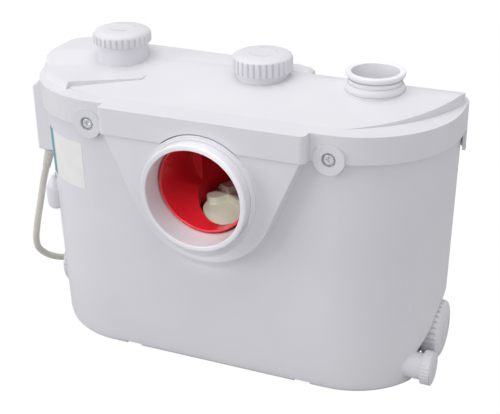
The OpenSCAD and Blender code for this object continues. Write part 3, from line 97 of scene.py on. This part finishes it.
coil_start = Vector((coil_centre.x - cord_d, coil_centre.y - coil_r, coil_z))
way_out = Vector((-math.sin(tilt), 0, -math.cos(tilt)))
route = [cord_exit] + [Vector(q) for q in hanging] + [coil_start]
route = ([route[0] - way_out * (route[1] - route[0]).length] + route
         + [route[-1] + Vector((1, 0, 0)) * (route[-1] - route[-2]).length])
path = catmull(route, 4)
path += [coil_point(i / coil_steps) for i in range(int(coil_turns * coil_steps) + 1)]
path.append(path[-1] + Vector((-lead_out, 0, 0)))
cord_curve = bpy.data.curves.new("mains_lead", "CURVE")
cord_curve.dimensions = "3D"
# Each point carries the lead's radius, so the curve's bounds are the lead's own
cord_curve.bevel_depth = 1
cord_curve.bevel_resolution = 6
cord_curve.use_fill_caps = True
spline = cord_curve.splines.new("POLY")
spline.points.add(len(path) - 1)
for point, q in zip(spline.points, path):
    point.co = (q.x, q.y, q.z, 1)
    point.radius = cord_d / 2
spline.use_smooth = True
lead = bpy.data.objects.new("mains_lead", cord_curve)
bpy.context.scene.collection.objects.link(lead)
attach(lead, "casing")
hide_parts("power_cord", "cord_coil")


def linear(hex_colour):
    out = []
    for i in (0, 2, 4):
        v = int(hex_colour[i:i + 2], 16) / 255
        out.append(v / 12.92 if v <= 0.04045 else ((v + 0.055) / 1.055) ** 2.4)
    return (*out, 1.0)


# Every surface is procedural: a faint cloud between two shades of its colour, a
# sheen that wanders between two roughnesses, and a fine grain as bump. Cloud,
# sheen and grain are each (scale, detail, stretch) of a noise. A soft edge is
# the radius to which sharp edges look rounded.
def noise(tree, scale, detail=2.0, stretch=(1, 1, 1)):
    place = tree.nodes.new("ShaderNodeTexCoord")
    mapping = tree.nodes.new("ShaderNodeMapping")
    mapping.inputs["Scale"].default_value = stretch
    tex = tree.nodes.new("ShaderNodeTexNoise")
    tex.inputs["Scale"].default_value = scale
    tex.inputs["Detail"].default_value = detail
    tree.links.new(place.outputs["Object"], mapping.inputs["Vector"])
    tree.links.new(mapping.outputs["Vector"], tex.inputs["Vector"])
    return tex.outputs["Fac"]


def surface(name, colour, shades, cloud, sheen, roughness, grain, bump,
            metallic=0.0, coat=0.0, soft_edge=0.0):
    m = bpy.data.materials.new(name)
    m.use_nodes = True
    tree = m.node_tree
    shader = tree.nodes["Principled BSDF"]
    shader.inputs["Base Color"].default_value = linear(colour)
    shader.inputs["Metallic"].default_value = metallic
    shader.inputs["Coat Weight"].default_value = coat
    ramp = tree.nodes.new("ShaderNodeValToRGB")
    for element, position, shade in zip(ramp.color_ramp.elements, (0.35, 0.65), shades):
        element.position = position
        element.color = linear(shade)
    tree.links.new(noise(tree, *cloud), ramp.inputs["Fac"])
    tree.links.new(ramp.outputs["Color"], shader.inputs["Base Color"])
    spread = tree.nodes.new("ShaderNodeMapRange")
    spread.inputs["To Min"].default_value, spread.inputs["To Max"].default_value = roughness
    tree.links.new(noise(tree, *sheen), spread.inputs["Value"])
    tree.links.new(spread.outputs["Result"], shader.inputs["Roughness"])
    relief = tree.nodes.new("ShaderNodeBump")
    relief.inputs["Strength"].default_value, relief.inputs["Distance"].default_value = bump
    if soft_edge:
        rounding = tree.nodes.new("ShaderNodeBevel")
        rounding.samples = 6
        rounding.inputs["Radius"].default_value = soft_edge
        tree.links.new(rounding.outputs["Normal"], relief.inputs["Normal"])
    tree.links.new(noise(tree, *grain), relief.inputs["Height"])
    tree.links.new(relief.outputs["Normal"], shader.inputs["Normal"])
    return m


# Cable jacket: soft PVC with a fine grain and a dull sheen
jacket = surface("cable_jacket", "d6d3c8", ("d2cfc3", "dbd8ce"), cloud=(30,),
                 sheen=(60,), roughness=(0.38, 0.5),
                 grain=(420, 3), bump=(0.25, 0.0002))
cord_curve.materials.append(jacket)


# White mouldings: glossy ABS with the faint cloud of a large moulding. Nodes
# that show as they are get their material from give.
def give(mat, *names):
    for n in names:
        o = nodes[n]
        if not o.material_slots:
            o.data.materials.append(mat)
        for s in o.material_slots:
            s.material = mat


white = surface("white_abs", "e5e4e8", ("e4e2e7", "e8e7eb"), cloud=(9, 3),
                sheen=(35, 3), roughness=(0.3, 0.4),
                grain=(900, 2), bump=(0.08, 0.0001), soft_edge=0.0008)


# White mouldings as softened copies: every sharp edge gets the small round
# that a moulding has, and the curved walls are shaded smooth. The lid keeps its
# own faces, because its crown has creases too low to tell from its curves.
def finish_mesh(name, bm, mat, slot, body, *stands_for, sharp=28):
    bmesh.ops.recalc_face_normals(bm, faces=bm.faces)
    mesh = bpy.data.meshes.new(name)
    bm.to_mesh(mesh)
    bm.free()
    mesh.polygons.foreach_set("use_smooth", [True] * len(mesh.polygons))
    mesh.set_sharp_from_angle(angle=math.radians(sharp))
    o = bpy.data.objects.new(name, mesh)
    bpy.context.scene.collection.objects.link(o)
    weighted = o.modifiers.new("normals", "WEIGHTED_NORMAL")
    weighted.keep_sharp = True
    weighted.weight = 80
    mesh.materials.append(mat)
    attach(o, body)
    if stands_for:
        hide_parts(*stands_for)


def softened(node, name, width, mat, slot, body="casing", change=None, segments=3):
    same_place, same_plane, edge_angle = 2e-5, math.radians(0.08), math.radians(28)
    bm = bmesh.new()
    bm.from_mesh(nodes[node].data)
    bmesh.ops.remove_doubles(bm, verts=bm.verts, dist=same_place)
    bmesh.ops.dissolve_limit(bm, angle_limit=same_plane, verts=bm.verts, edges=bm.edges,
                             use_dissolve_boundaries=False)
    if change:
        change(bm)
    edges = [e for e in bm.edges if e.is_manifold and e.calc_face_angle(0) > edge_angle]
    bmesh.ops.bevel(bm, geom=edges, offset=width, offset_type="OFFSET", segments=segments,
                    profile=0.5, affect="EDGES", clamp_overlap=False, miter_outer="ARC")
    bmesh.ops.dissolve_degenerate(bm, dist=1e-6, edges=bm.edges)
    bmesh.ops.triangulate(bm, faces=[f for f in bm.faces if len(f.verts) > 4])
    finish_mesh(name, bm, mat, slot, body, node)


softened("tank", "tank_shell", 0.0009, white, "white_moulding")
give(white, "lid")
softened("cable_box", "cable_box_shell", 0.0012, white, "white_moulding")
softened("outlet_collar", "outlet_spool", 0.0009, white, "white_moulding")
softened("drain_plug", "drain_plug_shell", 0.0006, white, "white_moulding", "drain_plug", segments=2)


# Turned shape from rings of (height, radius, depth of its grooves). It is closed
# on its axis where the rings start there, and is a closed ring otherwise. The
# shares are of a ridge's pitch: half the uncut width, and a groove's flank.
def turned(name, rings, mat, slot, body, place, *stands_for, steps, ridges=0, sharp=35):
    flat_share, flank_share = 0.3, 0.13
    bm = bmesh.new()
    loops = []
    for z, r, depth in rings:
        if r == 0:
            loops.append([bm.verts.new(place @ Vector((0, 0, z)))])
            continue
        loop = []
        for k in range(steps):
            a = 2 * math.pi * k / steps
            from_ridge = abs((a * ridges / (2 * math.pi)) % 1 - 0.5)
            cut = r - depth * min(1, max(0, (from_ridge - flat_share) / flank_share))
            loop.append(bm.verts.new(place @ Vector((cut * math.cos(a), cut * math.sin(a), z))))
        loops.append(loop)
    if len(loops[0]) > 1:
        loops.append(loops[0])
    for low, high in zip(loops, loops[1:]):
        for k in range(steps):
            n = (k + 1) % steps
            quad = [low[k % len(low)], low[n % len(low)], high[n % len(high)], high[k % len(high)]]
            bm.faces.new(list(dict.fromkeys(quad)))
    finish_mesh(name, bm, mat, slot, body, *stands_for, sharp=sharp)


# Round shoulder of a cap, from its ridged band over to the middle of its top
def shoulder(z0, r0, z1, r1):
    steps = 10
    angles = [math.pi / 2 * k / steps for k in range(1, steps + 1)]
    return [(z0 + (z1 - z0) * math.sin(a), r1 + (r0 - r1) * math.cos(a), 0) for a in angles]


# Raised mark on a cap: a ring broken into two turning arrows
def turning_arrows(name, body, place, z):
    ring_r, half_width, head, rise, sunk = 0.0125, 0.0009, 0.0028, 0.0005, 0.0006
    first, sweep, tip, steps = 20, 100, 146, 12
    bm = bmesh.new()
    for start in (0, 180):
        angles = [math.radians(start + first + sweep * k / steps) for k in range(steps + 1)]
        outline = [(a, ring_r + half_width) for a in angles]
        outline += [(angles[-1], ring_r + head), (math.radians(start + tip), ring_r),
                    (angles[-1], ring_r - head)]
        outline += [(a, ring_r - half_width) for a in reversed(angles)]
        low, high = [[bm.verts.new(place @ Vector((q * math.cos(a), q * math.sin(a), level)))
                      for a, q in outline] for level in (z - sunk, z + rise)]
        bm.faces.new(high)
        bm.faces.new(low[::-1])
        for k in range(len(outline)):
            n = (k + 1) % len(outline)
            bm.faces.new([low[k], low[n], high[n], high[k]])
    bmesh.ops.bevel(bm, geom=list(bm.edges), offset=0.0002, offset_type="OFFSET", segments=2,
                    profile=0.5, affect="EDGES", clamp_overlap=True)
    finish_mesh(name, bm, white, "white_moulding", body)


# Screw caps: a ridged band, a round shoulder and a slightly domed top. Heights
# run from the solid cap's lower end; foot and band are the lower and upper end
# of the ridged band.
cap_r, cap_bore, cap_ceiling, cap_height, groove = 0.0280, 0.0247, 0.0144, 0.0174, 0.0017
neck_y, side_neck_z = 0.030, 0.034


def screw_cap(node, place, foot, band):
    rings = [(cap_ceiling, 0, 0), (cap_ceiling, cap_bore - 0.001, 0),
             (cap_ceiling - 0.001, cap_bore, 0), (foot + 0.0006, cap_bore, 0),
             (foot, cap_bore + 0.0006, 0), (foot, cap_r - 0.0016, 0.0006),
             (foot + 0.0003, cap_r - 0.0006, 0.0013), (foot + 0.0010, cap_r - 0.0001, 0.0016),
             (foot + 0.0030, cap_r, groove), (band - 0.0012, cap_r, groove),
             (band, cap_r - 0.0001, 0.0013), (band + 0.0007, cap_r - 0.0004, 0.0005)]
    rings += shoulder(band + 0.0007, cap_r - 0.0004, 0.0170, 0.0120)
    rings += [(0.0172, 0.0060, 0), (0.0173, 0, 0)]
    turned(node + "_moulding", rings, white, "white_moulding", node, place, node,
           steps=300, ridges=30, sharp=50)
    turning_arrows(node + "_arrows", node, place, 0.0168)


to_the_right = Matrix.Rotation(math.pi / 2, 4, "Y")
to_the_left = Matrix.Rotation(-math.pi / 2, 4, "Y")
side_right = Matrix.Translation((0.203 - cap_height, neck_y, side_neck_z)) @ to_the_right
side_left = Matrix.Translation((cap_height - 0.208, neck_y, side_neck_z)) @ to_the_left
screw_cap("left_cap", Matrix.Translation((-0.130, neck_y, 0.2808)), 0.0032, 0.0104)
screw_cap("centre_cap", Matrix.Translation((0.016, neck_y, 0.2724)), 0.0, 0.0122)
screw_cap("right_side_cap", side_right, 0.0, 0.0122)
screw_cap("left_side_cap", side_left, 0.0, 0.0122)

# Rolled lip round the spigot's mouth, over the plain end of its tube
spigot_z = 0.192
front = Matrix.Translation((0, 0, spigot_z)) @ Matrix.Rotation(math.pi / 2, 4, "X")
turned("spigot_lip",
       [(0.0906, 0.0498, 0), (0.0910, 0.0503, 0), (0.0918, 0.0506, 0), (0.0932, 0.0507, 0),
        (0.0942, 0.0505, 0), (0.0948, 0.0499, 0), (0.09495, 0.0490, 0), (0.0949, 0.0470, 0),
        (0.0946, 0.0462, 0), (0.0940, 0.0456, 0), (0.0930, 0.0455, 0), (0.0925, 0.0470, 0),
        (0.0922, 0.0490, 0)],
       white, "white_moulding", "casing", front, steps=128, sharp=60)
# Second step of the collar at the spigot's foot
turned("spigot_collar",
       [(0.0796, 0.0499, 0), (0.0826, 0.0499, 0), (0.0829, 0.0503, 0), (0.0829, 0.0516, 0),
        (0.0826, 0.0521, 0), (0.0820, 0.0523, 0), (0.0796, 0.0524, 0)],
       white, "white_moulding", "casing", front, steps=128, sharp=60)

# Red throat and pot round the cutter, glossy polypropylene
red = surface("red_pot", "e32230", ("e01f2e", "ea2936"), cloud=(14,),
              sheen=(50,), roughness=(0.25, 0.38),
              grain=(500,), bump=(0.1, 0.0001), coat=0.3)


# Throat's mouth drawn in a little from the spigot's bore and lifted off its floor
def draw_in(bm):
    mouth_y, least_r, drawn, lift = -0.0705, 0.03, 0.967, 0.0015
    for v in bm.verts:
        from_axis = v.co.z - spigot_z
        if v.co.y < mouth_y and math.hypot(v.co.x, from_axis) > least_r:
            v.co.x *= drawn
            v.co.z = spigot_z + lift + from_axis * drawn


softened("inlet_pot", "red_throat", 0.0007, red, "red_moulding", change=draw_in)

# Cutter and impeller, cream acetal
cream = surface("cream_acetal", "cdd0be", ("c8cbb8", "d3d5c5"), cloud=(25,),
                sheen=(80,), roughness=(0.4, 0.52),
                grain=(600,), bump=(0.12, 0.0001), soft_edge=0.0010)
give(cream, "cutter", "impeller")

# Stainless screws, blades, shaft and clamps with fine turning marks
steel = surface("stainless", "b9bbbe", ("aeb0b4", "c4c6c8"), cloud=(200,),
                sheen=(700, 3), roughness=(0.22, 0.36),
                grain=(1500, 2, (1, 1, 8)), bump=(0.1, 0.00005), metallic=1.0)
give(steel, "cable_box_screws", "plug_pins", "cutter_blades", "cutter_nut",
     "motor_shaft", "cover_screws", "rotor_core", "top_bearing", "bottom_bearing",
     "riser_clamps", "stator_core")

# Lid screws with bright zinc pan heads
zinc = surface("bright_zinc", "e4e6ea", ("dcdfe4", "ebedf0"), cloud=(300,),
               sheen=(700, 3), roughness=(0.2, 0.32),
               grain=(1500, 2), bump=(0.08, 0.00005), metallic=0.55)
softened("lid_screws", "zinc_screws", 0.0006, zinc, "steel")

# Seals and flap in black nitrile rubber
rubber = surface("nitrile_rubber", "1b1b1d", ("18181a", "222225"), cloud=(40,),
                 sheen=(120,), roughness=(0.6, 0.75),
                 grain=(900,), bump=(0.2, 0.0001))
give(rubber, "lid_gasket", "left_cap_seal", "centre_cap_seal", "right_side_seal",
     "left_side_seal", "drain_seal", "valve_flap", "top_seal", "bottom_seal",
     "switch_diaphragm")

# Inner mouldings in grey polypropylene
grey = surface("grey_polypropylene", "9c9ea3", ("96989d", "a4a6aa"), cloud=(20,),
               sheen=(70,), roughness=(0.42, 0.55),
               grain=(700,), bump=(0.12, 0.0001))
give(grey, "valve_body", "pump_volute", "pump_base", "riser_pipe", "control_box",
     "switch_housing", "dip_tube", "switch_plunger")

# Motor's case and cover in dark stoved enamel
enamel = surface("motor_enamel", "2b2d31", ("282a2e", "313338"), cloud=(60,),
                 sheen=(150,), roughness=(0.32, 0.45),
                 grain=(1100,), bump=(0.25, 0.0001))
give(enamel, "motor_case", "motor_cover")

# Enamelled copper end windings
copper = surface("enamelled_copper", "8f4a20", ("7c3d18", "a2582a"), cloud=(300, 2, (1, 1, 6)),
                 sheen=(500,), roughness=(0.3, 0.45),
                 grain=(900, 2, (1, 1, 8)), bump=(0.4, 0.0003), metallic=0.6)
give(copper, "stator_coils")

# Black nylon tie, capacitor can, switch and inner leads
black = surface("black_nylon", "1d1d1f", ("19191b", "242427"), cloud=(50,),
                sheen=(160,), roughness=(0.4, 0.52),
                grain=(800,), bump=(0.1, 0.0001))
give(black, "cord_tie", "run_capacitor", "micro_switch", "supply_lead", "motor_lead")

# Relief and plug in the lead's own soft PVC: a tapered relief with grooves that
# let it bend, and a rounded plug
rings = [(0.0, 0, 0), (0.0, 0.0037, 0), (0.0003, 0.0041, 0)]
for k in range(6):
    z, r = 0.0012 + 0.0030 * k, 0.0041 + 0.00013 * k
    rings += [(z, r, 0), (z + 0.0004, r - 0.0006, 0), (z + 0.0010, r - 0.0006, 0), (z + 0.0014, r, 0)]
rings += [(0.0195, 0.0050, 0), (0.0242, 0.0050, 0), (0.0244, 0.0048, 0), (0.0244, 0, 0)]
relief_place = Matrix.Translation(cord_exit) @ Matrix.Rotation(tilt, 4, "Y")
turned("ribbed_relief", rings, jacket, "cord_jacket", "casing", relief_place, "strain_relief", steps=48)
softened("mains_plug", "rounded_plug", 0.0024, jacket, "cord_jacket", segments=4)

# Two bare paper labels on the front left curve
paper = surface("label_paper", "f1f1ee", ("efefeb", "f4f4f2"), cloud=(40,),
                sheen=(200,), roughness=(0.5, 0.6),
                grain=(1500,), bump=(0.1, 0.00005))
give(paper, "blank_label")
teal = surface("label_teal", "5fa3ae", ("5a9fab", "66a9b3"), cloud=(60,),
               sheen=(200,), roughness=(0.5, 0.6),
               grain=(1500,), bump=(0.1, 0.00005))
give(teal, "stripe_label")


# Floor and world, plain white to the camera and a soft grey light to the object
def white_to_camera(tree, output, lit, seen):
    mix = tree.nodes.new("ShaderNodeMixShader")
    ray = tree.nodes.new("ShaderNodeLightPath")
    tree.links.new(ray.outputs["Is Camera Ray"], mix.inputs["Fac"])
    tree.links.new(lit.outputs[0], mix.inputs[1])
    tree.links.new(seen.outputs[0], mix.inputs[2])
    tree.links.new(mix.outputs[0], tree.nodes.new(output).inputs["Surface"])


half_floor = 6
floor_mesh = bpy.data.meshes.new("floor")
floor_mesh.from_pydata([(-half_floor, -half_floor, 0), (half_floor, -half_floor, 0),
                        (half_floor, half_floor, 0), (-half_floor, half_floor, 0)], [], [(0, 1, 2, 3)])
floor = bpy.data.objects.new("floor", floor_mesh)
bpy.context.scene.collection.objects.link(floor)
floor_mat = bpy.data.materials.new("floor_white")
floor_mat.use_nodes = True
tree = floor_mat.node_tree
tree.nodes.clear()
matt = tree.nodes.new("ShaderNodeBsdfDiffuse")
matt.inputs["Color"].default_value = (0.6, 0.6, 0.61, 1)
glow = tree.nodes.new("ShaderNodeEmission")
glow.inputs["Color"].default_value = (1, 1, 1, 1)
white_to_camera(tree, "ShaderNodeOutputMaterial", matt, glow)
floor_mesh.materials.append(floor_mat)

world = bpy.data.worlds.new("studio")
bpy.context.scene.world = world
world.use_nodes = True
tree = world.node_tree
tree.nodes.clear()
soft, plain = [tree.nodes.new("ShaderNodeBackground") for _ in range(2)]
soft.inputs["Color"].default_value = (0.97, 0.975, 1, 1)
soft.inputs["Strength"].default_value = 0.61
plain.inputs["Color"].default_value = (1, 1, 1, 1)
plain.inputs["Strength"].default_value = 1.0
white_to_camera(tree, "ShaderNodeOutputWorld", soft, plain)


# Studio lights: a broad one above, a key from the left, a weak fill from the
# right, and two narrow cones, in degrees, into the red throat and the outlet
def lamp(name, place, aim, size, power, cone=0):
    data = bpy.data.lights.new(name, "SPOT" if cone else "AREA")
    if cone:
        data.spot_size = math.radians(cone)
        data.spot_blend = 1.0
        data.shadow_soft_size = size
    else:
        data.shape = "SQUARE"
        data.size = size
    data.energy = power
    o = bpy.data.objects.new(name, data)
    bpy.context.scene.collection.objects.link(o)
    o.location = place
    o.rotation_euler = (Vector(aim) - Vector(place)).to_track_quat("-Z", "Y").to_euler()


lamp("above", (-0.2, -0.1, 1.6), (0, 0, 0.2), 1.4, 10)
lamp("key", (-1.5, -1.2, 0.8), (0, 0, 0.12), 1.0, 9.5)
lamp("fill", (1.6, -0.8, 0.6), (0, 0, 0.15), 1.0, 1.6)
lamp("throat", (0.22, -1.15, 1.1), (0, -0.062, 0.168), 0.03, 150, 2.7)
lamp("neck", (0.30, -0.90, 1.25), (0.124, 0.047, 0.281), 0.03, 130, 1.7)
bpy.context.scene.view_settings.view_transform = "Standard"
